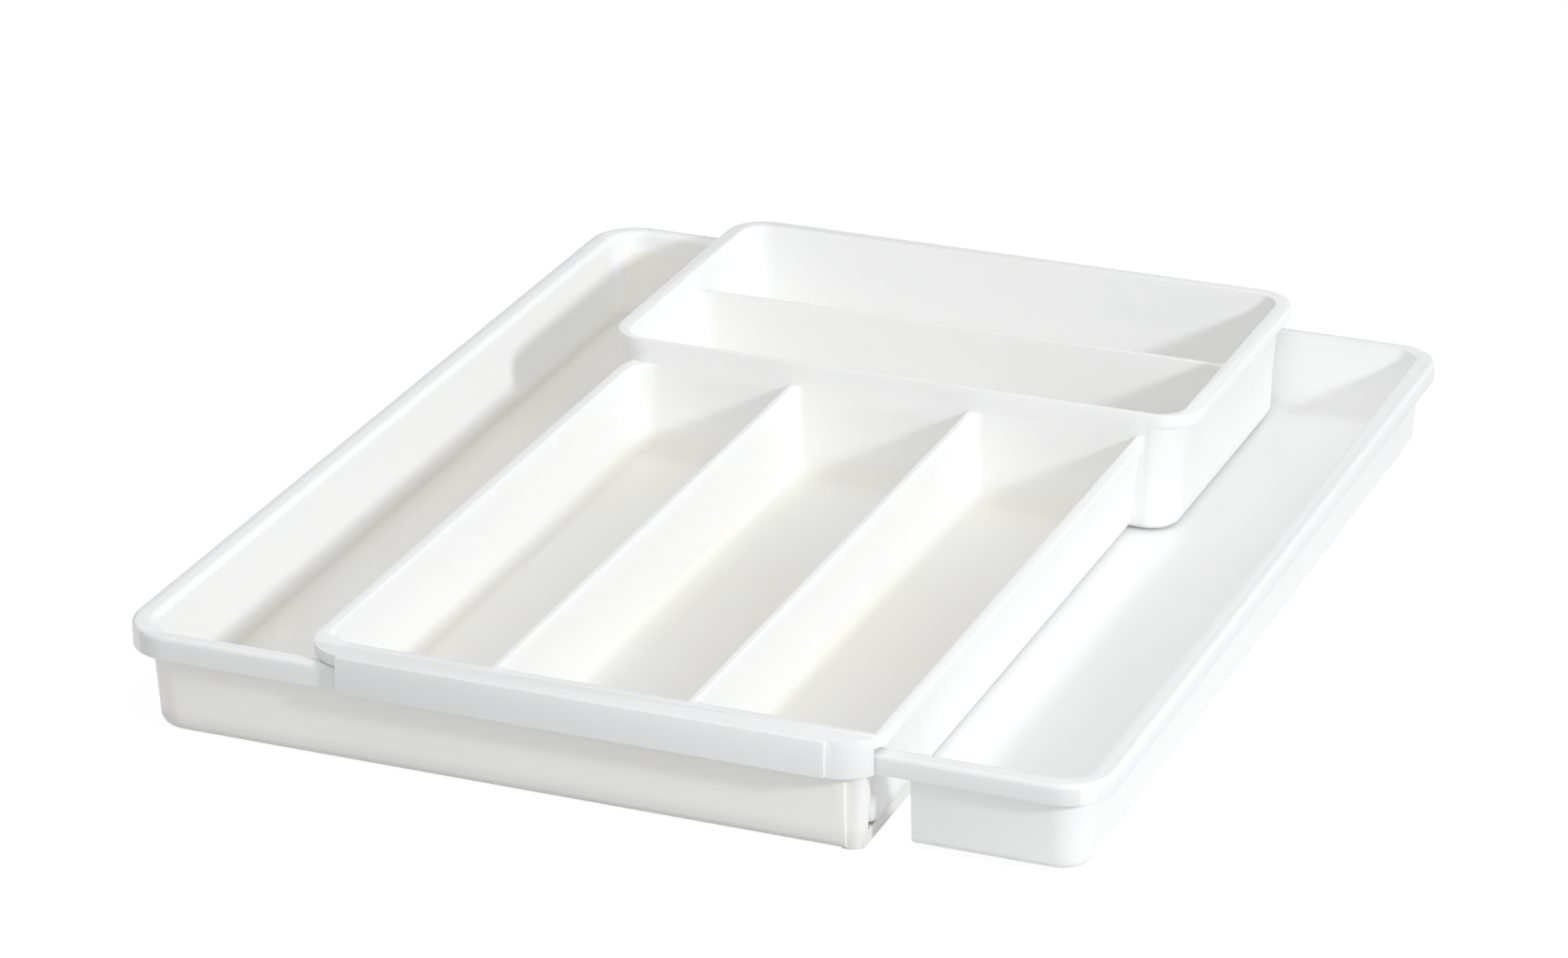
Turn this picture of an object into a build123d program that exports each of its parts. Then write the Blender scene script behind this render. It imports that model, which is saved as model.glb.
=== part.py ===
"""Expanding drawer organizer insert: two nested sliding trays under a divided centre insert.

Millimetres; +X across the drawer, +Y to its back, +Z up.
"""

from build123d import *
from math import cos, radians, sin, tan
import os

# ---- shared ------------------------------------------------------------------------------------
draft_angle = 4.0  # outer walls lean out by this much towards their tops
divider_draft = 1.2  # inner dividers thicken a little towards the floor
slide_gap = 0.6  # vertical clearance between nested floors
rim_gap = 0.5  # sideways clearance between hooked rims
rail_gap = 1.05  # between the left tray's wall and the right tray's rim that runs inside it
body_gap = 0.35  # between the right tray's wall and the insert's body, at the rim
lean = tan(radians(draft_angle))
divider_lean = tan(radians(divider_draft))

# ---- left tray: the lowest one, it rests on the drawer floor -------------------------------------
left_height = 34.0
left_wall = 1.8
left_floor = 2.0
left_rim_x = -156.4  # outermost edge of the rim, on the left
left_rim_half = 189.85  # outermost edge of the rim, front and back
left_overhang_x = 5.7  # how far the rim stands out from the wall, on the left
left_overhang_y = 3.7  # the same at the front and the back
left_skirt = 7.7  # how deep the rim turns down
left_corner = 17.0  # rim corner radius in plan
left_foot_round = 3.4
left_wall_end = 79.1  # the front and back walls stop here
left_floor_end = 83.4  # the floor runs a little further
left_rim_end = 74.9  # and the rim stops short, against the insert's corner skirt
return_depth = 4.6  # past the wall's end a recessed return turns the corner and goes back this far
return_step = 1.5  # it is set in from the wall's outer face
return_top = 25.6
return_corner = 4.0
curb_top = 4.4  # low curb along the floor's end, beside the tongue

# ---- right tray: nested in the left one, open towards the left -----------------------------------
right_height = 32.7
right_wall = 1.8
right_floor = 2.0
right_bottom = left_floor + slide_gap
right_rim_x = 156.4
right_rim_half = left_rim_half - left_overhang_y - left_wall - rail_gap
right_overhang_x = 4.5
right_overhang_y = 3.4
right_skirt = 6.4
right_corner = 15.0
right_foot_round = 3.0
right_wall_start = 97.4  # free ends of the front and back walls
right_rail_start = -44.6  # the rims run on to the left as two slide rails
tongue_start = -4.6  # the floor runs on to the left as a tongue below the insert
tongue_inset_front, tongue_inset_back = 49.3, 55.3  # the tongue is this much narrower than the rims
tongue_flare = 14.0  # radius where the tongue's back edge widens into the tray

# ---- centre insert: divided, slides between the two ------------------------------------------------
insert_bottom = right_bottom + right_floor + slide_gap
insert_floor = 1.8
insert_wall = 1.8
insert_rim_z = 38.2
insert_left, insert_right = -92.1, 88.8  # outer wall faces of the narrow part, at the rim
insert_front = -(right_rim_half - right_overhang_y - right_wall - body_gap)  # outer face at the rim
insert_foot_right = 85.0  # outer right face at the foot
insert_lip = 1.5  # side beads stand out by this much
flange_half = left_rim_half + rim_gap + insert_wall  # straight part of the hooked flange
flange_step = 1.5  # its rounded corners are set back by this much
flange_left, flange_right = -80.6, 75.4
flange_corner = 15.0
flange_skirt_z = 26.7
corner_skirt_z = 26.2
bead_z = insert_rim_z - 3.6
roll = 6.0  # convex roll from the rim down into the compartments
body_corner = 6.0
head_body_corner = 12.0

# raised head at the back of the insert
head_z = 46.2
head_left, head_right = -98.2, 102.0
head_front = 59.0  # its front face is one plane with the narrow compartments' back walls
head_back = -insert_front + 0.55
head_lip_left, head_lip_right, head_lip_back = 3.0, 3.4, 2.65
head_lip_depth = 4.2
head_corner = 14.0

# compartments
divider = 1.8
divider_lefts = (-34.5, 28.5)  # left faces of the two lengthwise dividers, at their tops
cross_divider_y = 122.9  # front face of the divider across the head, at its top
cross_divider_z = 40.2
compartment_corner = 9.0
floor_round = 4.5
foot_round = 2.6
divider_corner = 3.0  # corner radius where a divider meets a wall

# cutters reach well past the whole object
beyond = right_rim_x - left_rim_x
across = 3 * flange_half
rim_round, inner_round = 1.6, 2.4  # outer and inner edge of the left tray's rim

os.makedirs("parts", exist_ok=True)


def box_at(x0, x1, y0, y1):
    """Centre and size of a plan rectangle given by its sides."""
    return ((x0 + x1) / 2, (y0 + y1) / 2), (x1 - x0, y1 - y0)


def round_corners(corners, outer_side, small, large):
    """Rounds a plan's corners: small ones beside dividers, large ones beside an outer wall."""
    groups = corners.group_by(Axis.X)
    for side in (0, -1):
        fillet(groups[side], radius=large if side == outer_side else small)


# ==== left tray ===================================================================================
with BuildPart() as left_tray:
    wall_x = left_rim_x + left_overhang_x
    wall_y = left_rim_half - left_overhang_y
    wall_radius = left_corner - left_overhang_y
    far = left_floor_end + beyond / 5
    # outer body, drawn at the rim and drafted inwards down to the floor
    centre, size = box_at(wall_x, far, -wall_y, wall_y)
    with BuildSketch(Plane.XY.offset(left_height)):
        with Locations(centre):
            Rectangle(*size)
        fillet(vertices().group_by(Axis.X)[0], radius=wall_radius)
    extrude(amount=left_height, dir=(0, 0, -1), taper=draft_angle)
    fillet(edges().group_by(Axis.Z)[0].sort_by(Axis.X)[:-1], radius=left_foot_round)
    # rim: a flat lip with a skirt turned down all round
    lip = box_at(left_rim_x, left_rim_end, -left_rim_half, left_rim_half)
    with BuildSketch(Plane.XY.offset(left_height - left_skirt)):
        with Locations(lip[0]):
            Rectangle(*lip[1])
        fillet(vertices().group_by(Axis.X)[0], radius=left_corner)
    extrude(amount=left_skirt)
    # the skirt stands clear of the wall
    with BuildSketch(Plane.XY.offset(left_height - left_skirt)):
        with Locations(lip[0]):
            Rectangle(lip[1][0] + beyond, lip[1][1] - 2 * left_wall)
        with Locations((left_rim_x - beyond / 2 + left_wall, 0)):
            Rectangle(beyond, across, mode=Mode.SUBTRACT)
        fillet(vertices().group_by(Axis.X)[0], radius=left_corner - left_wall)
        with BuildSketch(mode=Mode.PRIVATE) as inside:
            with Locations(centre):
                Rectangle(*size)
            fillet(inside.vertices().group_by(Axis.X)[0], radius=wall_radius)
        add(inside.sketch, mode=Mode.SUBTRACT)
    extrude(amount=left_skirt - left_wall, mode=Mode.SUBTRACT)
    # cavity
    inner = box_at(wall_x + left_wall, far + beyond, -wall_y + left_wall, wall_y - left_wall)
    with BuildSketch(Plane.XY.offset(left_height)):
        with Locations(inner[0]):
            Rectangle(*inner[1])
        fillet(vertices().group_by(Axis.X)[0], radius=wall_radius - left_wall)
    extrude(amount=left_height - left_floor, dir=(0, 0, -1), taper=draft_angle, mode=Mode.SUBTRACT)
    foot = edges().filter_by_position(Axis.Z, left_floor - 0.01, left_floor + 0.01)
    fillet(foot.sort_by(Axis.X)[:-1], radius=2.2)
    # soft edges on the rim
    rim_edges = edges().filter_by_position(Axis.Z, left_height - 0.01, left_height + 0.01)
    loops = rim_edges.filter_by_position(Axis.X, left_rim_x - 1, left_rim_end - 0.01)
    outline = loops.filter_by(
        lambda e: e.bounding_box().max.Y > wall_y + 0.5
        or e.bounding_box().min.Y < -wall_y - 0.5
        or e.bounding_box().min.X < wall_x - 0.5
    )
    fillet(outline, radius=rim_round)
    rim_edges = edges().filter_by_position(Axis.Z, left_height - 0.01, left_height + 0.01)
    inside_loop = rim_edges.filter_by(
        lambda e: abs(e.center().Y) <= wall_y - left_wall + 0.01
        and e.bounding_box().min.X >= wall_x + left_wall - 0.01
        and e.bounding_box().size.X + e.bounding_box().size.Y > 1
        and e.center().X < far - 1
    )
    fillet(inside_loop, radius=inner_round)
    # open right end: walls cut square, the floor runs on with rounded corners
    with BuildSketch(Plane.XY.offset(left_floor)):
        with Locations((left_wall_end + beyond / 2, 0)):
            Rectangle(beyond, across)
    extrude(amount=left_height, mode=Mode.SUBTRACT)
    foot_half = wall_y - left_height * lean - return_step  # outer face of the return
    end_plan = box_at(left_floor_end - 3 * return_depth, left_floor_end, -foot_half, foot_half)
    with BuildSketch(Plane.XY.offset(-left_floor)):
        with Locations((left_wall_end + beyond / 2, 0)):
            Rectangle(beyond, across)
        with Locations(end_plan[0]):
            RectangleRounded(*end_plan[1], return_corner, mode=Mode.SUBTRACT)
    extrude(amount=3 * left_floor, mode=Mode.SUBTRACT)
    # at each free corner: a recessed return of the wall, and a low curb that stops short of the tongue
    for side, curb_start in (
        (-1, right_rim_half - tongue_inset_front + slide_gap),
        (1, right_rim_half - tongue_inset_back + tongue_flare + slide_gap),
    ):
        for z in (0, return_top):
            width, depth = (length + 2 * z * lean for length in end_plan[1])
            with BuildSketch(Plane.XY.offset(z)):
                with Locations(end_plan[0]):
                    RectangleRounded(width, depth, return_corner)
                    RectangleRounded(
                        width - 2 * left_wall,
                        depth - 2 * left_wall,
                        return_corner - left_wall,
                        mode=Mode.SUBTRACT,
                    )
                with Locations((left_wall_end - left_wall - beyond / 2, 0)):
                    Rectangle(beyond, across, mode=Mode.SUBTRACT)
                Rectangle(2 * beyond, 2 * (foot_half - return_depth), mode=Mode.SUBTRACT)
                with Locations((0, -side * across)):
                    Rectangle(2 * beyond, 2 * across, mode=Mode.SUBTRACT)
        loft(ruled=True)
        curb = box_at(left_floor_end - left_wall, left_floor_end, curb_start, foot_half - return_depth / 2)
        with BuildSketch(Plane.XY):
            with Locations((curb[0][0], side * curb[0][1])):
                Rectangle(*curb[1])
        extrude(amount=curb_top)
left_tray.part.label = "left_tray"
export_step(left_tray.part, "parts/left_tray.step")

# ==== right tray ==================================================================================
with BuildPart() as right_tray:
    wall_x = right_rim_x - right_overhang_x
    wall_y = right_rim_half - right_overhang_y
    wall_radius = right_corner - right_overhang_y
    near = right_wall_start - beyond / 5
    centre, size = box_at(near, wall_x, -wall_y, wall_y)
    with BuildSketch(Plane.XY.offset(right_height)):
        with Locations(centre):
            Rectangle(*size)
        fillet(vertices().group_by(Axis.X)[-1], radius=wall_radius)
    extrude(amount=right_height - right_bottom, dir=(0, 0, -1), taper=draft_angle)
    fillet(edges().group_by(Axis.Z)[0].sort_by(Axis.X)[1:], radius=right_foot_round)
    # free ends of the walls
    with BuildSketch(Plane.XY.offset(right_bottom + right_floor)):
        with Locations((right_wall_start - beyond / 2, 0)):
            Rectangle(beyond, across)
    extrude(amount=right_height, mode=Mode.SUBTRACT)
    with BuildSketch(Plane.XY.offset(right_bottom - right_floor)):
        with Locations((right_wall_start - beyond / 2, 0)):
            Rectangle(beyond, across)
    extrude(amount=2 * right_floor, mode=Mode.SUBTRACT)
    # rim with its skirt, running on to the left as two rails
    lip = box_at(right_rail_start, right_rim_x, -right_rim_half, right_rim_half)
    with BuildSketch(Plane.XY.offset(right_height - right_skirt)):
        with Locations(lip[0]):
            Rectangle(*lip[1])
        fillet(vertices().group_by(Axis.X)[-1], radius=right_corner)
    extrude(amount=right_skirt)
    with BuildSketch(Plane.XY.offset(right_height - right_skirt)):
        with Locations((lip[0][0] - beyond / 2, 0)):
            Rectangle(lip[1][0] + beyond - 2 * right_wall, lip[1][1] - 2 * right_wall)
        fillet(vertices().group_by(Axis.X)[-1], radius=right_corner - right_wall)
        with BuildSketch(mode=Mode.PRIVATE) as inside:
            with Locations(((right_wall_start + wall_x) / 2, 0)):
                Rectangle(wall_x - right_wall_start, 2 * wall_y)
            fillet(inside.vertices().group_by(Axis.X)[-1], radius=wall_radius)
        add(inside.sketch, mode=Mode.SUBTRACT)
    extrude(amount=right_skirt - right_wall, mode=Mode.SUBTRACT)
    # cavity: the full space inside the walls, and a narrower slot between the rails
    inner = box_at(near - beyond, wall_x - right_wall, -wall_y + right_wall, wall_y - right_wall)
    with BuildSketch(Plane.XY.offset(right_height)):
        with Locations(inner[0]):
            Rectangle(*inner[1])
        fillet(vertices().group_by(Axis.X)[-1], radius=wall_radius - right_wall)
    extrude(
        amount=right_height - right_bottom - right_floor,
        dir=(0, 0, -1),
        taper=draft_angle,
        mode=Mode.SUBTRACT,
    )
    with BuildSketch(Plane.XY.offset(right_height - right_skirt)):
        with Locations((right_wall_start - beyond / 2, 0)):
            Rectangle(beyond, 2 * (wall_y - right_wall))
    extrude(amount=right_skirt, mode=Mode.SUBTRACT)
    rim_edges = edges().filter_by_position(Axis.Z, right_height - 0.01, right_height + 0.01)
    outline = rim_edges.filter_by(
        lambda e: abs(e.center().Y) > right_rim_half - 0.5 or e.center().X > wall_x + 0.5
    ).filter_by(lambda e: e.bounding_box().size.X + e.bounding_box().size.Y > right_overhang_x)
    fillet(outline, radius=rim_round)
    wells = edges().filter_by_position(
        Axis.Z, right_bottom + right_floor - 0.01, right_bottom + right_floor + 0.01
    )
    wells = wells.filter_by(
        lambda e: e.bounding_box().min.X > right_wall_start - 0.01
        and e.bounding_box().size.X + e.bounding_box().size.Y > 1
        and abs(e.center().X - right_wall_start) > 0.1
    )
    fillet(wells, radius=2.2)
    # floor: a tongue reaches back under the insert
    tongue = box_at(
        tongue_start,
        right_wall_start + right_overhang_x,
        -right_rim_half + tongue_inset_front,
        right_rim_half - tongue_inset_back,
    )
    with BuildSketch(Plane.XY.offset(right_bottom)):
        with Locations(tongue[0]):
            Rectangle(*tongue[1])
        fillet(vertices().group_by(Axis.X)[0], radius=12)
    extrude(amount=right_floor)
    corners = edges().filter_by(Axis.Z).filter_by_position(
        Axis.X, right_wall_start - 0.1, right_wall_start + 0.1
    )
    fillet(corners.group_by(SortBy.DISTANCE)[0], radius=tongue_flare)
right_tray.part.label = "right_tray"
export_step(right_tray.part, "parts/right_tray.step")

# ==== centre insert ===============================================================================
with BuildPart() as centre_insert:
    # narrow body and the wider head behind it, both drafted down to one foot
    head_foot_right = head_right - (head_z - insert_bottom) * lean
    inside_head = (head_front + head_back) / 2
    for x0, x1, foot_x1, y0, y1, top, front_lean, corner in (
        (insert_left, insert_right, insert_foot_right, insert_front, inside_head, insert_rim_z, lean, body_corner),
        (head_left, head_right, head_foot_right, head_front, head_back, head_z, 0, head_body_corner),
    ):
        rise = top - insert_bottom
        foot = box_at(x0 + rise * lean, foot_x1, y0 + rise * front_lean, y1 - rise * lean)
        crown = box_at(x0, x1, y0, y1)
        with BuildSketch(Plane.XY.offset(insert_bottom)):
            with Locations(foot[0]):
                RectangleRounded(*foot[1], corner - 2)
        with BuildSketch(Plane.XY.offset(top)):
            with Locations(crown[0]):
                RectangleRounded(*crown[1], corner)
        loft(ruled=True)
    fillet(edges().group_by(Axis.Z)[0], radius=foot_round)

    # rim of the narrow body: a flat plate with a bead turned down all round
    rim = box_at(
        insert_left - insert_lip, insert_right + insert_lip, -flange_half + flange_step, head_front + 8
    )
    with BuildSketch(Plane.XY.offset(insert_rim_z)):
        with Locations(rim[0]):
            RectangleRounded(*rim[1], flange_corner)
    extrude(amount=-insert_wall)
    with BuildSketch(Plane.XY.offset(bead_z)):
        with Locations(rim[0]):
            RectangleRounded(*rim[1], flange_corner)
            RectangleRounded(
                rim[1][0] - 2 * insert_lip,
                rim[1][1] - 2 * insert_lip,
                flange_corner - insert_lip,
                mode=Mode.SUBTRACT,
            )
    extrude(amount=insert_rim_z - bead_z)
    # deep skirt round the right front corner; it stops where the right tray's rim comes out
    with BuildSketch(Plane.XY.offset(corner_skirt_z)):
        with Locations(rim[0]):
            RectangleRounded(*rim[1], flange_corner)
            RectangleRounded(
                rim[1][0] - 2 * insert_wall,
                rim[1][1] - 2 * insert_wall,
                flange_corner - insert_wall,
                mode=Mode.SUBTRACT,
            )
        with Locations((flange_right + across / 2, -right_rim_half - rim_gap - across / 2)):
            Rectangle(across, across, mode=Mode.INTERSECT)
    extrude(amount=insert_rim_z - corner_skirt_z)
    # hooked flange, front and back: a plate and a straight skirt over both trays' rims
    for side in (-1, 1):
        plate_edge = -insert_front - 4 if side < 0 else head_back - 8
        with BuildSketch(Plane.XY.offset(insert_rim_z)):
            with Locations(((flange_left + flange_right) / 2, side * (flange_half + plate_edge) / 2)):
                Rectangle(flange_right - flange_left, flange_half - plate_edge)
        extrude(amount=-insert_wall)
        with BuildSketch(Plane.XY.offset(flange_skirt_z)):
            with Locations(((flange_left + flange_right) / 2, side * (flange_half - insert_wall / 2))):
                Rectangle(flange_right - flange_left, insert_wall)
        extrude(amount=insert_rim_z - flange_skirt_z)

    # head rim
    lip = box_at(
        head_left - head_lip_left,
        head_right + head_lip_right,
        head_front,
        head_back + head_lip_back,
    )
    with BuildSketch(Plane.XY.offset(head_z - head_lip_depth)):
        with Locations(lip[0]):
            RectangleRounded(*lip[1], head_corner)
    extrude(amount=head_lip_depth)

    # compartments: three in the narrow body and two in the head
    deep = insert_rim_z - insert_bottom - insert_floor
    right_lean = (insert_right - insert_foot_right) / (insert_rim_z - insert_bottom)
    left_faces = (insert_left + insert_wall, *(x + divider for x in divider_lefts))
    right_faces = (*divider_lefts, insert_right - insert_wall)
    wall_face = insert_front + insert_wall
    back_face = head_front
    roll_steps = 4
    for i, (x0, x1) in enumerate(zip(left_faces, right_faces)):
        tilt_left = lean if i == 0 else divider_lean
        tilt_right = right_lean if i == len(left_faces) - 1 else divider_lean
        low = box_at(
            x0 + deep * tilt_left,
            x1 - deep * tilt_right,
            wall_face + deep * lean,
            back_face - deep * divider_lean,
        )
        outer_side = {0: 0, len(left_faces) - 1: -1}.get(i)  # which side of it is an outer wall
        with BuildSketch(Plane.XY.offset(insert_bottom + insert_floor)):
            with Locations(low[0]):
                Rectangle(*low[1])
            round_corners(vertices(), outer_side, floor_round + 0.5, compartment_corner - 2)
        # the front edge flares out in a broad convex roll up to the rim
        for step in range(roll_steps + 1):
            turn = radians(90 * step / roll_steps)
            high = box_at(x0, x1, wall_face - roll * (1 - cos(turn)), back_face)
            with BuildSketch(Plane.XY.offset(insert_rim_z - roll + roll * sin(turn))):
                with Locations(high[0]):
                    Rectangle(*high[1])
                round_corners(vertices(), outer_side, divider_corner, compartment_corner)
        loft(ruled=True, mode=Mode.SUBTRACT)
    deep = head_z - insert_bottom - insert_floor
    inner_left, inner_right = head_left + insert_wall, head_right - insert_wall
    for y0, y1, tilt_front, tilt_back in (
        (head_front + divider, cross_divider_y, divider_lean, divider_lean),
        (cross_divider_y + divider, head_back - insert_wall, divider_lean, lean),
    ):
        low = box_at(
            inner_left + deep * lean,
            inner_right - deep * lean,
            y0 + deep * tilt_front,
            y1 - deep * tilt_back,
        )
        high = box_at(inner_left, inner_right, y0, y1)
        with BuildSketch(Plane.XY.offset(insert_bottom + insert_floor)):
            with Locations(low[0]):
                RectangleRounded(*low[1], compartment_corner - 2)
        with BuildSketch(Plane.XY.offset(head_z)):
            with Locations(high[0]):
                RectangleRounded(*high[1], compartment_corner)
        loft(ruled=True, mode=Mode.SUBTRACT)
    # the cross divider stays below the head's rim
    drop = head_z - cross_divider_z
    middle = cross_divider_y + divider / 2
    with BuildSketch(Plane.XY.offset(cross_divider_z)):
        with Locations(((inner_left + inner_right) / 2, middle)):
            Rectangle(inner_right - inner_left - 2 * drop * lean, 30)
    with BuildSketch(Plane.XY.offset(head_z)):
        with Locations(((inner_left + inner_right) / 2, middle)):
            Rectangle(inner_right - inner_left, 30)
    loft(ruled=True, mode=Mode.SUBTRACT)
    floors = edges().filter_by_position(
        Axis.Z, insert_bottom + insert_floor - 0.01, insert_bottom + insert_floor + 0.01
    )
    fillet(floors, radius=floor_round)
centre_insert.part.label = "centre_insert"
export_step(centre_insert.part, "parts/centre_insert.step")
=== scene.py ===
"""Expanding drawer organizer insert: moulded shells, their plastic and the studio round them."""

import math

import bpy
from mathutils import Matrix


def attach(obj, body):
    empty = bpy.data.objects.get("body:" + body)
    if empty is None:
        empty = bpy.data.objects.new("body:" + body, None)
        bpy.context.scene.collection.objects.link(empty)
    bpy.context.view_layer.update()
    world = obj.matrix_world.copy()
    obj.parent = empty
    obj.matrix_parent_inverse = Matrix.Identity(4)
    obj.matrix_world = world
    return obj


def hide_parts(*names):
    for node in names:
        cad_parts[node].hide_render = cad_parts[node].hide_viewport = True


bl_info = {
    "name": "Drawer organizer insert",
    "version": (1, 0, 0),
    "blender": (4, 5, 0),
    "location": "3D View > Sidebar > Drawer insert",
    "description": "Expanding drawer organizer insert in satin white plastic, with its studio",
    "category": "Object",
}

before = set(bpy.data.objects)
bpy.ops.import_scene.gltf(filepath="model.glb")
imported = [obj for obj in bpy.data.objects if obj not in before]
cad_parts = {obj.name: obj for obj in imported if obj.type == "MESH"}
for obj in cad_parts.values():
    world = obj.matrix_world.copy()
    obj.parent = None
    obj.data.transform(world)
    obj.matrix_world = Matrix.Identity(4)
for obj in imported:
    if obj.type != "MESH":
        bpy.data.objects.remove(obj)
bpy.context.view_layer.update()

MM = 0.001

# ---- how a shell is made from its solid ----------------------------------------------------------
MERGE_WITHIN = 0.004 * MM  # corners of facets closer than this are one corner
FLAT_BELOW = math.radians(0.4)  # facets that turn less than this are one face
ROUNDED_ABOVE = math.radians(35.0)  # edges that turn more than this get the mould's radius
SMOOTH_BELOW = math.radians(28.0)  # faces that turn less than this are shaded as one
ROUND_STEPS = 3

# ---- how each piece takes the light --------------------------------------------------------------
# "rubs" is how worn the rails are, "seed" shifts the grain, "tint" says where warm shade is painted
# on the plastic and "through" where a glow is painted in for light coming through it, with "glow"
# as its strength. Heights are above the drawer floor, and the others are from the middle of the
# insert.
# OUTSIDE is past every face.
OUTSIDE = 300.0 * MM
LEFT_TRAY_TONES = {
    "rubs": 0.10,
    "seed": 0.0,
    "tint": {"Low": 2.0 * MM, "High": 14.0 * MM, "Wall": 178.0 * MM, "Right end": OUTSIDE},
    "through": {
        "Low": 3.0 * MM,
        "High": 36.0 * MM,
        "Half depth": 187.2 * MM,
        "Half width": 153.5 * MM,
    },
    "glow": 0.085,
}
# The right tray gets no painted warm shade in a well, so its tint band lies below it.
RIGHT_TRAY_TONES = {
    "rubs": 0.14,
    "seed": 3.1,
    "tint": {"Low": -20.0 * MM, "High": -10.0 * MM, "Wall": OUTSIDE, "Right end": OUTSIDE},
    "through": {
        "Low": -3.0 * MM,
        "High": 34.0 * MM,
        "Half depth": 180.8 * MM,
        "Half width": 153.5 * MM,
    },
    "glow": 0.085,
}
CENTRE_INSERT_TONES = {
    "rubs": 0.06,
    "seed": 7.7,
    "tint": {"Low": 6.0 * MM, "High": 21.0 * MM, "Wall": OUTSIDE, "Right end": 84.0 * MM},
    "through": {
        "Low": 6.0 * MM,
        "High": 49.0 * MM,
        "Half depth": 183.5 * MM,
        "Half width": OUTSIDE,
    },
    "glow": 0.07,
}
SKIRT_FOOT = 26.4 * MM  # below this height an outer wall is single and gets painted warm shade
PAINTED_SHADE_FADE = 15.0 * MM  # the painted warm shade dies away over this length before a right end
PAINTED_GLOW_FADE_LOW = 5.0 * MM  # height over which the painted glow for light through a wall sets in
PAINTED_GLOW_FADE_HIGH = 3.0 * MM  # height over which it dies away under the rim

# ---- the studio, in metres -----------------------------------------------------------------------
FLOOR_SIZE = 14.0
FLOOR_DROP = 0.2 * MM  # the sheet lies this far under the feet
FLOOR_WHITE = 1.1  # brightness of the sheet's own light
FLOOR_WHITE_SHARE = 0.85  # the rest is the lit sheet, which keeps the shadow
COOL_LIGHT = (0.95, 0.98, 1.0)
WHITE_LIGHT = (1.0, 1.0, 1.0)
SKY_COLOUR = (0.985, 0.99, 1.0, 1.0)
WHITE = (1.0, 1.0, 1.0, 1.0)
BLACK = (0.0, 0.0, 0.0, 1.0)
KEY_REACH = 3.0  # from the middle of the insert
KEY_WIDTH = 0.29
TOP_PLACE, TOP_WIDTH = (0.5, -0.2, 1.8), 1.6
TOP_AIM = (0.0, math.radians(16.7), math.radians(-21.8))
FRONT_PLACE, FRONT_WIDTH = (0.3, -1.8, 1.26), 1.2
FRONT_AIM = (math.radians(55.0), 0.0, math.radians(9.5))
CAMERA_PLACE = (0.5943, -1.5274, 0.7307)
CAMERA_AIM = (math.radians(90.0 - 23.07), 0.0, math.radians(21.69))
SENSOR_WIDTH_MM = 36.0
SEEN_AS_FAR_AS = 30.0


# ---- sizes and colours a user would change -------------------------------------------------------
class PlasticSettings(bpy.types.PropertyGroup):
    """The moulded plastic that all three pieces share."""

    colour: bpy.props.FloatVectorProperty(
        name="Colour",
        description="Colour of the plastic where no shade is painted",
        subtype="COLOR",
        size=3,
        min=0.0,
        max=1.0,
        default=(0.866, 0.866, 0.86),
    )
    # The warm tint is painted shade: a warm, darker colour low in the wells and on a single outer
    # wall.
    warm: bpy.props.FloatVectorProperty(
        name="Painted shade colour",
        description="Colour of the shade painted low in the wells and on a single outer wall",
        subtype="COLOR",
        size=3,
        min=0.0,
        max=1.0,
        default=(0.848, 0.834, 0.788),
    )
    roughness: bpy.props.FloatProperty(
        name="Roughness",
        description="How satin the moulded surface is",
        min=0.0,
        max=1.0,
        default=0.36,
    )
    grain_size: bpy.props.FloatProperty(
        name="Grain size",
        description="Width of one bump of the mould's fine texture",
        subtype="DISTANCE",
        unit="LENGTH",
        default=0.7 * MM,
    )
    edge: bpy.props.FloatProperty(
        name="Edge round",
        description="Radius left on the moulded edges",
        subtype="DISTANCE",
        unit="LENGTH",
        default=0.5 * MM,
    )


class StudioSettings(bpy.types.PropertyGroup):
    """Floor, lamps, sky and lens."""

    floor: bpy.props.FloatVectorProperty(
        name="Floor",
        description="Colour of the studio floor",
        subtype="COLOR",
        size=3,
        min=0.0,
        max=1.0,
        default=(0.66, 0.66, 0.66),
    )
    key_power: bpy.props.FloatProperty(
        name="Key power",
        description="Power of the small lamp on the right, in watts",
        min=0.0,
        default=39.0,
    )
    key_turn: bpy.props.FloatProperty(
        name="Key turn",
        description="How far the key lamp stands round towards the front",
        subtype="ANGLE",
        default=math.radians(23.0),
    )
    key_height: bpy.props.FloatProperty(
        name="Key height",
        description="Angle of the key lamp above the floor",
        subtype="ANGLE",
        default=math.radians(27.0),
    )
    top_power: bpy.props.FloatProperty(
        name="Top power",
        description="Power of the large lamp overhead, in watts",
        min=0.0,
        default=9.5,
    )
    front_power: bpy.props.FloatProperty(
        name="Front power",
        description="Power of the large lamp high in front, in watts",
        min=0.0,
        default=3.0,
    )
    sky: bpy.props.FloatProperty(
        name="Sky",
        description="Strength of the even light from all round",
        min=0.0,
        default=0.52,
    )
    lens: bpy.props.FloatProperty(
        name="Lens",
        description="Focal length on a 36 mm sensor, in millimetres",
        min=1.0,
        default=126.96,
    )


# ---- nodes ---------------------------------------------------------------------------------------
def new_group(name, inputs, outputs):
    """An empty shader node group with named sockets; an input has its default value, or None."""
    group = bpy.data.node_groups.new(name, "ShaderNodeTree")
    for label, kind, value in inputs:
        socket = group.interface.new_socket(name=label, in_out="INPUT", socket_type=kind)
        if value is not None:
            socket.default_value = value
    for label, kind in outputs:
        group.interface.new_socket(name=label, in_out="OUTPUT", socket_type=kind)
    return group, group.nodes.new("NodeGroupInput"), group.nodes.new("NodeGroupOutput")


def feed(tree, socket, value):
    """Links a socket to another node's output, or sets it to a plain value."""
    if isinstance(value, bpy.types.NodeSocket):
        tree.links.new(value, socket)
    else:
        socket.default_value = value


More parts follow.
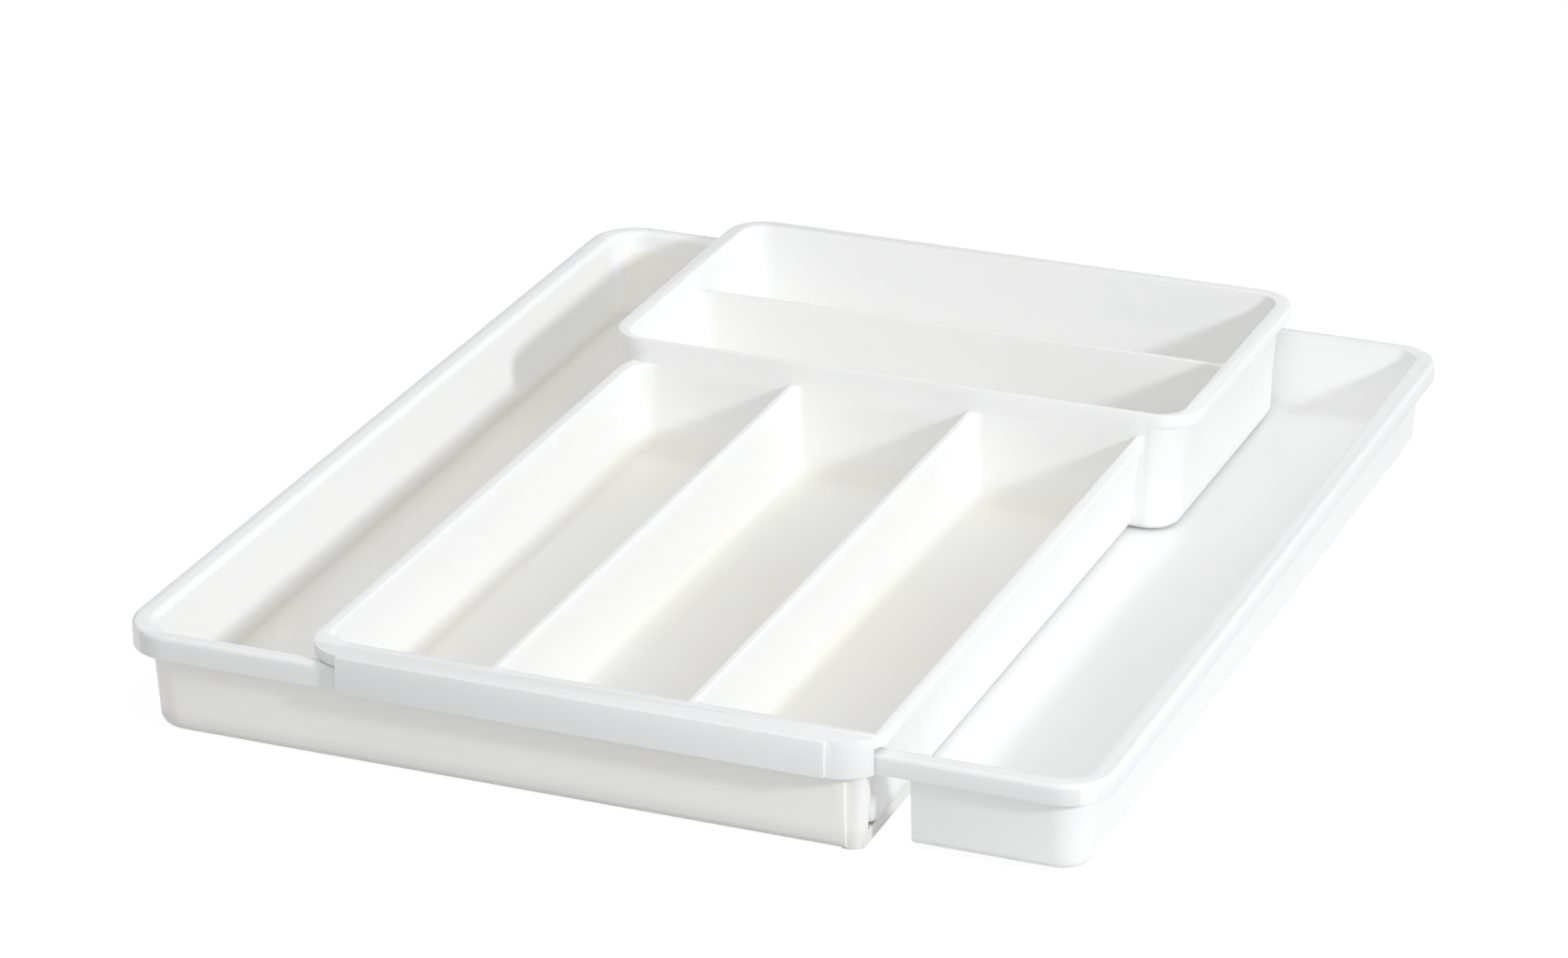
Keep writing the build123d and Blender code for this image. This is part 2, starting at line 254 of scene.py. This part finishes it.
def math_node(tree, operation, a, b=0.0, clamp=False):
    """The result of a sum on sockets or plain numbers."""
    node = tree.nodes.new("ShaderNodeMath")
    node.operation, node.use_clamp = operation, clamp
    feed(tree, node.inputs[0], a)
    feed(tree, node.inputs[1], b)
    return node.outputs["Value"]


def noise_node(tree, vector, scale, detail, roughness=0.5):
    """Noise on the given coordinates, from 0 to 1."""
    node = tree.nodes.new("ShaderNodeTexNoise")
    feed(tree, node.inputs["Vector"], vector)
    feed(tree, node.inputs["Scale"], scale)
    node.inputs["Detail"].default_value = detail
    node.inputs["Roughness"].default_value = roughness
    return node.outputs["Fac"]


def smooth_ramp(tree, value, start, end):
    """Rises smoothly from 0 at start to 1 at end, which may lie below start."""
    node = tree.nodes.new("ShaderNodeMapRange")
    node.interpolation_type = "SMOOTHSTEP"
    feed(tree, node.inputs["Value"], value)
    feed(tree, node.inputs["From Min"], start)
    feed(tree, node.inputs["From Max"], end)
    return node.outputs["Result"]


def mixed_colour(tree, factor, colour, other):
    """Passes from one colour to another as the factor rises."""
    node = tree.nodes.new("ShaderNodeMix")
    node.data_type = "RGBA"
    feed(tree, node.inputs["Factor"], factor)
    feed(tree, node.inputs["A"], colour)
    feed(tree, node.inputs["B"], other)
    return node.outputs["Result"]


def split_node(tree, vector):
    """The X, Y and Z of a vector, as the outputs of one node."""
    node = tree.nodes.new("ShaderNodeSeparateXYZ")
    feed(tree, node.inputs["Vector"], vector)
    return node.outputs


# ---- the plastic ---------------------------------------------------------------------------------
def mould_grain_group():
    """Fine spark-eroded texture and slow flow waves of an injection-moulded face."""
    group, source, result = new_group(
        "Mould grain",
        (
            ("Vector", "NodeSocketVector", None),
            ("Grain per metre", "NodeSocketFloat", 1400.0),
            ("Roughness", "NodeSocketFloat", 0.36),
        ),
        (("Height", "NodeSocketFloat"), ("Roughness", "NodeSocketFloat")),
    )
    grain_height, wave_height, roughness_spread = 0.25, 1.6, 0.22
    vector = source.outputs["Vector"]
    per_metre = source.outputs["Grain per metre"]
    grain = noise_node(group, vector, per_metre, detail=2.0, roughness=0.6)
    waves = noise_node(group, vector, scale=22.0, detail=1.0)
    fine = math_node(group, "MULTIPLY", grain, grain_height)
    slow = math_node(group, "MULTIPLY", waves, wave_height)
    feed(group, result.inputs["Height"], math_node(group, "ADD", fine, slow))
    rubbed = noise_node(group, vector, scale=60.0, detail=4.0, roughness=0.65)
    off_middle = math_node(group, "SUBTRACT", rubbed, 0.5)
    spread = math_node(group, "MULTIPLY", off_middle, roughness_spread)
    rough = math_node(group, "ADD", source.outputs["Roughness"], spread, clamp=True)
    feed(group, result.inputs["Roughness"], rough)
    return group


def slide_rubs_group():
    """Long hairline rubs that sliding leaves along the rails, as a mask."""
    group, source, result = new_group(
        "Slide rubs",
        (("Vector", "NodeSocketVector", None), ("Amount", "NodeSocketFloat", 0.5)),
        (("Mask", "NodeSocketFloat"),),
    )
    lines_per_metre = (6.0, 900.0, 500.0)
    rubbed_above, contrast = 0.62, 6.0
    stretch = group.nodes.new("ShaderNodeMapping")
    feed(group, stretch.inputs["Vector"], source.outputs["Vector"])
    stretch.inputs["Scale"].default_value = lines_per_metre
    lines = noise_node(group, stretch.outputs["Vector"], scale=1.0, detail=2.0, roughness=0.6)
    above = math_node(group, "SUBTRACT", lines, rubbed_above)
    sharp = math_node(group, "MULTIPLY", above, contrast, clamp=True)
    mask = math_node(group, "MULTIPLY", sharp, source.outputs["Amount"])
    feed(group, result.inputs["Mask"], mask)
    return group


def painted_well_shade_group():
    """Paints warm shade low in a well and on a single outer wall, drifting over large faces."""
    group, source, result = new_group(
        "Painted well shade",
        (
            ("Vector", "NodeSocketVector", None),
            ("Colour", "NodeSocketColor", (0.86, 0.86, 0.86, 1.0)),
            ("Warm", "NodeSocketColor", (0.86, 0.85, 0.82, 1.0)),
            ("Low", "NodeSocketFloat", 0.0),
            ("High", "NodeSocketFloat", 0.03),
            ("Wall", "NodeSocketFloat", 0.178),
            ("Right end", "NodeSocketFloat", 1.0),
        ),
        (("Color", "NodeSocketColor"),),
    )
    least_drift = 0.35
    place = split_node(group, source.outputs["Vector"])
    in_well = smooth_ramp(group, place["Z"], source.outputs["High"], source.outputs["Low"])
    off_centre = math_node(group, "ABSOLUTE", place["Y"])
    past_wall = math_node(group, "GREATER_THAN", off_centre, source.outputs["Wall"])
    below_skirt = math_node(group, "LESS_THAN", place["Z"], SKIRT_FOOT)
    at_wall = math_node(group, "MULTIPLY", past_wall, below_skirt)
    warmest = math_node(group, "MAXIMUM", in_well, at_wall)
    noise = noise_node(group, source.outputs["Vector"], scale=9.0, detail=2.0)
    drift = math_node(group, "ADD", noise, least_drift)
    warmed = math_node(group, "MULTIPLY", warmest, drift, clamp=True)
    to_end = math_node(group, "SUBTRACT", source.outputs["Right end"], place["X"])
    before_end = math_node(group, "DIVIDE", to_end, PAINTED_SHADE_FADE, clamp=True)
    amount = math_node(group, "MULTIPLY", warmed, before_end)
    colour = mixed_colour(group, amount, source.outputs["Colour"], source.outputs["Warm"])
    feed(group, result.inputs["Color"], colour)
    return group


def painted_glow_group():
    """A glow painted into the thin walls for light that comes through them, but not into the
    doubled skirts round them.
    """
    group, source, result = new_group(
        "Painted through glow",
        (
            ("Vector", "NodeSocketVector", None),
            ("Colour", "NodeSocketColor", (0.86, 0.85, 0.82, 1.0)),
            ("Low", "NodeSocketFloat", 0.003),
            ("High", "NodeSocketFloat", 0.03),
            ("Half depth", "NodeSocketFloat", 0.187),
            ("Half width", "NodeSocketFloat", 0.2),
        ),
        (("Color", "NodeSocketColor"),),
    )
    place = split_node(group, source.outputs["Vector"])
    low, high = source.outputs["Low"], source.outputs["High"]
    set_in = math_node(group, "ADD", low, PAINTED_GLOW_FADE_LOW)
    die_away = math_node(group, "SUBTRACT", high, PAINTED_GLOW_FADE_HIGH)
    amount = math_node(
        group,
        "MULTIPLY",
        smooth_ramp(group, place["Z"], low, set_in),
        smooth_ramp(group, place["Z"], high, die_away),
    )
    for axis, limit in (("Y", "Half depth"), ("X", "Half width")):
        off_centre = math_node(group, "ABSOLUTE", place[axis])
        inside = math_node(group, "LESS_THAN", off_centre, source.outputs[limit])
        amount = math_node(group, "MULTIPLY", amount, inside)
    colour = mixed_colour(group, amount, BLACK, source.outputs["Colour"])
    feed(group, result.inputs["Color"], colour)
    return group


def moulded_plastic(name, plastic, tones):
    """Satin, faintly translucent polypropylene with mould grain and slide rubs, warm shade painted
    low in the wells and a glow painted into the thin walls.
    """
    material = bpy.data.materials.new(name)
    material.use_nodes = True
    tree = material.node_tree
    shader = tree.nodes["Principled BSDF"]
    coords = tree.nodes.new("ShaderNodeTexCoord").outputs["Object"]
    seed = tones["seed"]
    shifted = tree.nodes.new("ShaderNodeMapping")
    shifted.inputs["Location"].default_value = (seed, seed * 0.7, seed * 1.3)
    feed(tree, shifted.inputs["Vector"], coords)

    def placed(group_name, maker, vector, values):
        """The shared group, made once, with this material's own values."""
        node = tree.nodes.new("ShaderNodeGroup")
        node.node_tree = bpy.data.node_groups.get(group_name) or maker()
        feed(tree, node.inputs["Vector"], vector)
        for label, value in values.items():
            node.inputs[label].default_value = value
        return node.outputs

    unshaded, warm = (*plastic.colour, 1.0), (*plastic.warm, 1.0)
    # Base colour, with warm shade painted low in the wells and on a single outer wall.
    tint = placed(
        "Painted well shade", painted_well_shade_group, coords, {"Colour": unshaded, "Warm": warm, **tones["tint"]}
    )
    # Emission colour: a glow painted into the thin walls for light coming through them.
    through = placed(
        "Painted through glow", painted_glow_group, coords, {"Colour": unshaded, **tones["through"]}
    )
    grain = placed(
        "Mould grain",
        mould_grain_group,
        shifted.outputs["Vector"],
        {"Grain per metre": 1.0 / plastic.grain_size, "Roughness": plastic.roughness},
    )
    rubs = placed(
        "Slide rubs", slide_rubs_group, shifted.outputs["Vector"], {"Amount": tones["rubs"]}
    )
    rough = math_node(tree, "ADD", grain["Roughness"], rubs["Mask"], clamp=True)
    bump = tree.nodes.new("ShaderNodeBump")
    bump.inputs["Strength"].default_value = 0.35
    bump.inputs["Distance"].default_value = 0.06 * MM
    height = math_node(tree, "SUBTRACT", grain["Height"], rubs["Mask"])
    feed(tree, bump.inputs["Height"], height)
    for label, value in (
        ("Base Color", tint["Color"]),
        ("Roughness", rough),
        ("Normal", bump.outputs["Normal"]),
        # The emission is the painted glow, and Base Color carries the painted warm shade.
        ("Emission Color", through["Color"]),
        ("Emission Strength", tones["glow"]),
        ("IOR", 1.49),
        ("Subsurface Weight", 0.25),
        ("Subsurface Radius", (1.0, 0.9, 0.72)),
        ("Subsurface Scale", 2.5 * MM),
    ):
        feed(tree, shader.inputs[label], value)
    return material


# ---- modelling helpers ---------------------------------------------------------------------------
def select_only(obj):
    """Deselects everything, then selects and activates one object."""
    if bpy.context.object and bpy.context.object.mode != "OBJECT":
        bpy.ops.object.mode_set(mode="OBJECT")
    bpy.ops.object.select_all(action="DESELECT")
    obj.select_set(True)
    bpy.context.view_layer.objects.active = obj


def moulded_shell(node, name, body, edge, material):
    """A shell of the solid's own form, its facets merged and every edge given its mould radius."""
    piece = bpy.data.objects.new(name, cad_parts[node].data.copy())
    bpy.context.scene.collection.objects.link(piece)
    select_only(piece)
    bpy.ops.object.mode_set(mode="EDIT")
    bpy.ops.mesh.select_all(action="SELECT")
    bpy.ops.mesh.remove_doubles(threshold=MERGE_WITHIN)
    bpy.ops.mesh.dissolve_limited(angle_limit=FLAT_BELOW, delimit={"NORMAL"})
    bpy.ops.object.mode_set(mode="OBJECT")
    rounding = piece.modifiers.new("Edge round", "BEVEL")
    rounding.width = edge
    rounding.segments = ROUND_STEPS
    rounding.limit_method = "ANGLE"
    rounding.angle_limit = ROUNDED_ABOVE
    bpy.ops.object.modifier_apply(modifier=rounding.name)
    bpy.ops.object.shade_smooth_by_angle(angle=SMOOTH_BELOW)
    piece.data.materials.clear()
    piece.data.materials.append(material)
    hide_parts(node)
    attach(piece, body)
    return piece


def area_lamp(name, place, aim, power, shape, width, colour):
    """A lamp that shines from a flat disk or square."""
    bpy.ops.object.light_add(type="AREA", location=place, rotation=aim)
    lamp = bpy.context.object
    lamp.name = name
    lamp.data.energy = power
    lamp.data.shape = shape
    lamp.data.size = width
    lamp.data.color = colour


# ---- one operator for each piece -----------------------------------------------------------------
class INSERT_OT_left_tray(bpy.types.Operator):
    """Moulds the left tray, which rests on the drawer floor."""

    bl_idname = "drawer_insert.left_tray"
    bl_label = "Left tray"

    def execute(self, context):
        plastic = context.scene.insert_plastic
        material = moulded_plastic("left_tray_satin", plastic, LEFT_TRAY_TONES)
        moulded_shell(
            "left_tray",
            "left_tray_shell",
            "left_tray",
            plastic.edge,
            material,
        )
        return {"FINISHED"}


class INSERT_OT_right_tray(bpy.types.Operator):
    """Moulds the right tray with its two slide rails."""

    bl_idname = "drawer_insert.right_tray"
    bl_label = "Right tray"

    def execute(self, context):
        plastic = context.scene.insert_plastic
        material = moulded_plastic("right_tray_satin", plastic, RIGHT_TRAY_TONES)
        moulded_shell(
            "right_tray",
            "right_tray_shell",
            "right_tray",
            plastic.edge,
            material,
        )
        return {"FINISHED"}


class INSERT_OT_centre_insert(bpy.types.Operator):
    """Moulds the divided centre insert with its raised head and hooked flange."""

    bl_idname = "drawer_insert.centre_insert"
    bl_label = "Centre insert"

    def execute(self, context):
        plastic = context.scene.insert_plastic
        material = moulded_plastic("centre_insert_satin", plastic, CENTRE_INSERT_TONES)
        moulded_shell(
            "centre_insert",
            "centre_insert_shell",
            "centre_insert",
            plastic.edge,
            material,
        )
        return {"FINISHED"}


class INSERT_OT_stage(bpy.types.Operator):
    """Lays the floor, hangs the lamps and sets up the camera."""

    bl_idname = "drawer_insert.stage"
    bl_label = "Studio"

    def execute(self, context):
        studio = context.scene.insert_studio
        self.floor(studio)
        self.lamps(studio)
        self.sky(context.scene, studio)
        self.camera(context.scene, studio)
        context.scene.view_settings.view_transform = "Standard"
        return {"FINISHED"}

    def floor(self, studio):
        """A pale sheet that still shows the object's shadow."""
        bpy.ops.object.select_all(action="DESELECT")
        bpy.ops.mesh.primitive_plane_add(size=FLOOR_SIZE, location=(0.0, 0.0, -FLOOR_DROP))
        sheet = bpy.context.object
        sheet.name = "studio_floor"
        material = bpy.data.materials.new("studio_floor_paper")
        material.use_nodes = True
        tree = material.node_tree
        shader = tree.nodes["Principled BSDF"]
        shader.inputs["Base Color"].default_value = (*studio.floor, 1.0)
        shader.inputs["Roughness"].default_value = 0.9
        shader.inputs["Specular IOR Level"].default_value = 0.0
        lit = tree.nodes.new("ShaderNodeEmission")
        lit.inputs["Strength"].default_value = FLOOR_WHITE
        rays = tree.nodes.new("ShaderNodeLightPath").outputs
        seen = math_node(tree, "MAXIMUM", rays["Is Camera Ray"], rays["Is Glossy Ray"])
        seen = math_node(tree, "MAXIMUM", seen, rays["Is Transmission Ray"])
        share = math_node(tree, "MULTIPLY", seen, FLOOR_WHITE_SHARE)
        mix = tree.nodes.new("ShaderNodeMixShader")
        feed(tree, mix.inputs["Fac"], share)
        feed(tree, mix.inputs[1], shader.outputs["BSDF"])
        feed(tree, mix.inputs[2], lit.outputs["Emission"])
        feed(tree, tree.nodes["Material Output"].inputs["Surface"], mix.outputs["Shader"])
        sheet.data.materials.append(material)

    def lamps(self, studio):
        """A small soft key from the right, and wide soft lamps overhead and high in front."""
        up, round_to_front = studio.key_height, studio.key_turn
        flat = KEY_REACH * math.cos(up)
        key_place = (
            flat * math.cos(round_to_front),
            -flat * math.sin(round_to_front),
            KEY_REACH * math.sin(up),
        )
        key_aim = (0.0, math.radians(90.0) - up, -round_to_front)
        for lamp in (
            ("key_lamp", key_place, key_aim, studio.key_power, "DISK", KEY_WIDTH, COOL_LIGHT),
            ("top_lamp", TOP_PLACE, TOP_AIM, studio.top_power, "SQUARE", TOP_WIDTH, WHITE_LIGHT),
            (
                "front_lamp",
                FRONT_PLACE,
                FRONT_AIM,
                studio.front_power,
                "SQUARE",
                FRONT_WIDTH,
                COOL_LIGHT,
            ),
        ):
            area_lamp(*lamp)

    def sky(self, scene, studio):
        """Even light from all round, seen as plain white."""
        world = bpy.data.worlds.new("studio_sky")
        world.use_nodes = True
        scene.world = world
        tree = world.node_tree
        dim = tree.nodes["Background"]
        dim.inputs["Color"].default_value = SKY_COLOUR
        dim.inputs["Strength"].default_value = studio.sky
        white = tree.nodes.new("ShaderNodeBackground")
        white.inputs["Color"].default_value = WHITE
        white.inputs["Strength"].default_value = 1.0
        rays = tree.nodes.new("ShaderNodeLightPath").outputs
        mix = tree.nodes.new("ShaderNodeMixShader")
        feed(tree, mix.inputs["Fac"], rays["Is Camera Ray"])
        feed(tree, mix.inputs[1], dim.outputs["Background"])
        feed(tree, mix.inputs[2], white.outputs["Background"])
        feed(tree, tree.nodes["World Output"].inputs["Surface"], mix.outputs["Shader"])

    def camera(self, scene, studio):
        """Long lens, from the right and a little above."""
        bpy.ops.object.camera_add(location=CAMERA_PLACE, rotation=CAMERA_AIM)
        camera = bpy.context.object
        camera.name = "studio_camera"
        camera.data.lens = studio.lens
        camera.data.sensor_width = SENSOR_WIDTH_MM
        camera.data.clip_end = SEEN_AS_FAR_AS
        scene.camera = camera


class INSERT_PT_panel(bpy.types.Panel):
    """Lists the pieces and their settings."""

    bl_idname = "INSERT_PT_panel"
    bl_label = "Drawer insert"
    bl_space_type = "VIEW_3D"
    bl_region_type = "UI"
    bl_category = "Drawer insert"

    def draw(self, context):
        layout = self.layout
        for settings in (context.scene.insert_plastic, context.scene.insert_studio):
            for name in settings.__annotations__:
                layout.prop(settings, name)
        for operator in OPERATORS:
            layout.operator(operator.bl_idname)


OPERATORS = (INSERT_OT_left_tray, INSERT_OT_right_tray, INSERT_OT_centre_insert, INSERT_OT_stage)
CLASSES = (PlasticSettings, StudioSettings, *OPERATORS, INSERT_PT_panel)


def register():
    """Registers the classes and hangs the settings on the scene."""
    for cls in CLASSES:
        bpy.utils.register_class(cls)
    bpy.types.Scene.insert_plastic = bpy.props.PointerProperty(type=PlasticSettings)
    bpy.types.Scene.insert_studio = bpy.props.PointerProperty(type=StudioSettings)


def unregister():
    """Removes what register added."""
    del bpy.types.Scene.insert_studio
    del bpy.types.Scene.insert_plastic
    for cls in reversed(CLASSES):
        bpy.utils.unregister_class(cls)


def main():
    """Builds every piece and the studio."""
    register()
    bpy.ops.drawer_insert.left_tray()
    bpy.ops.drawer_insert.right_tray()
    bpy.ops.drawer_insert.centre_insert()
    bpy.ops.drawer_insert.stage()


if __name__ == "__main__":
    main()
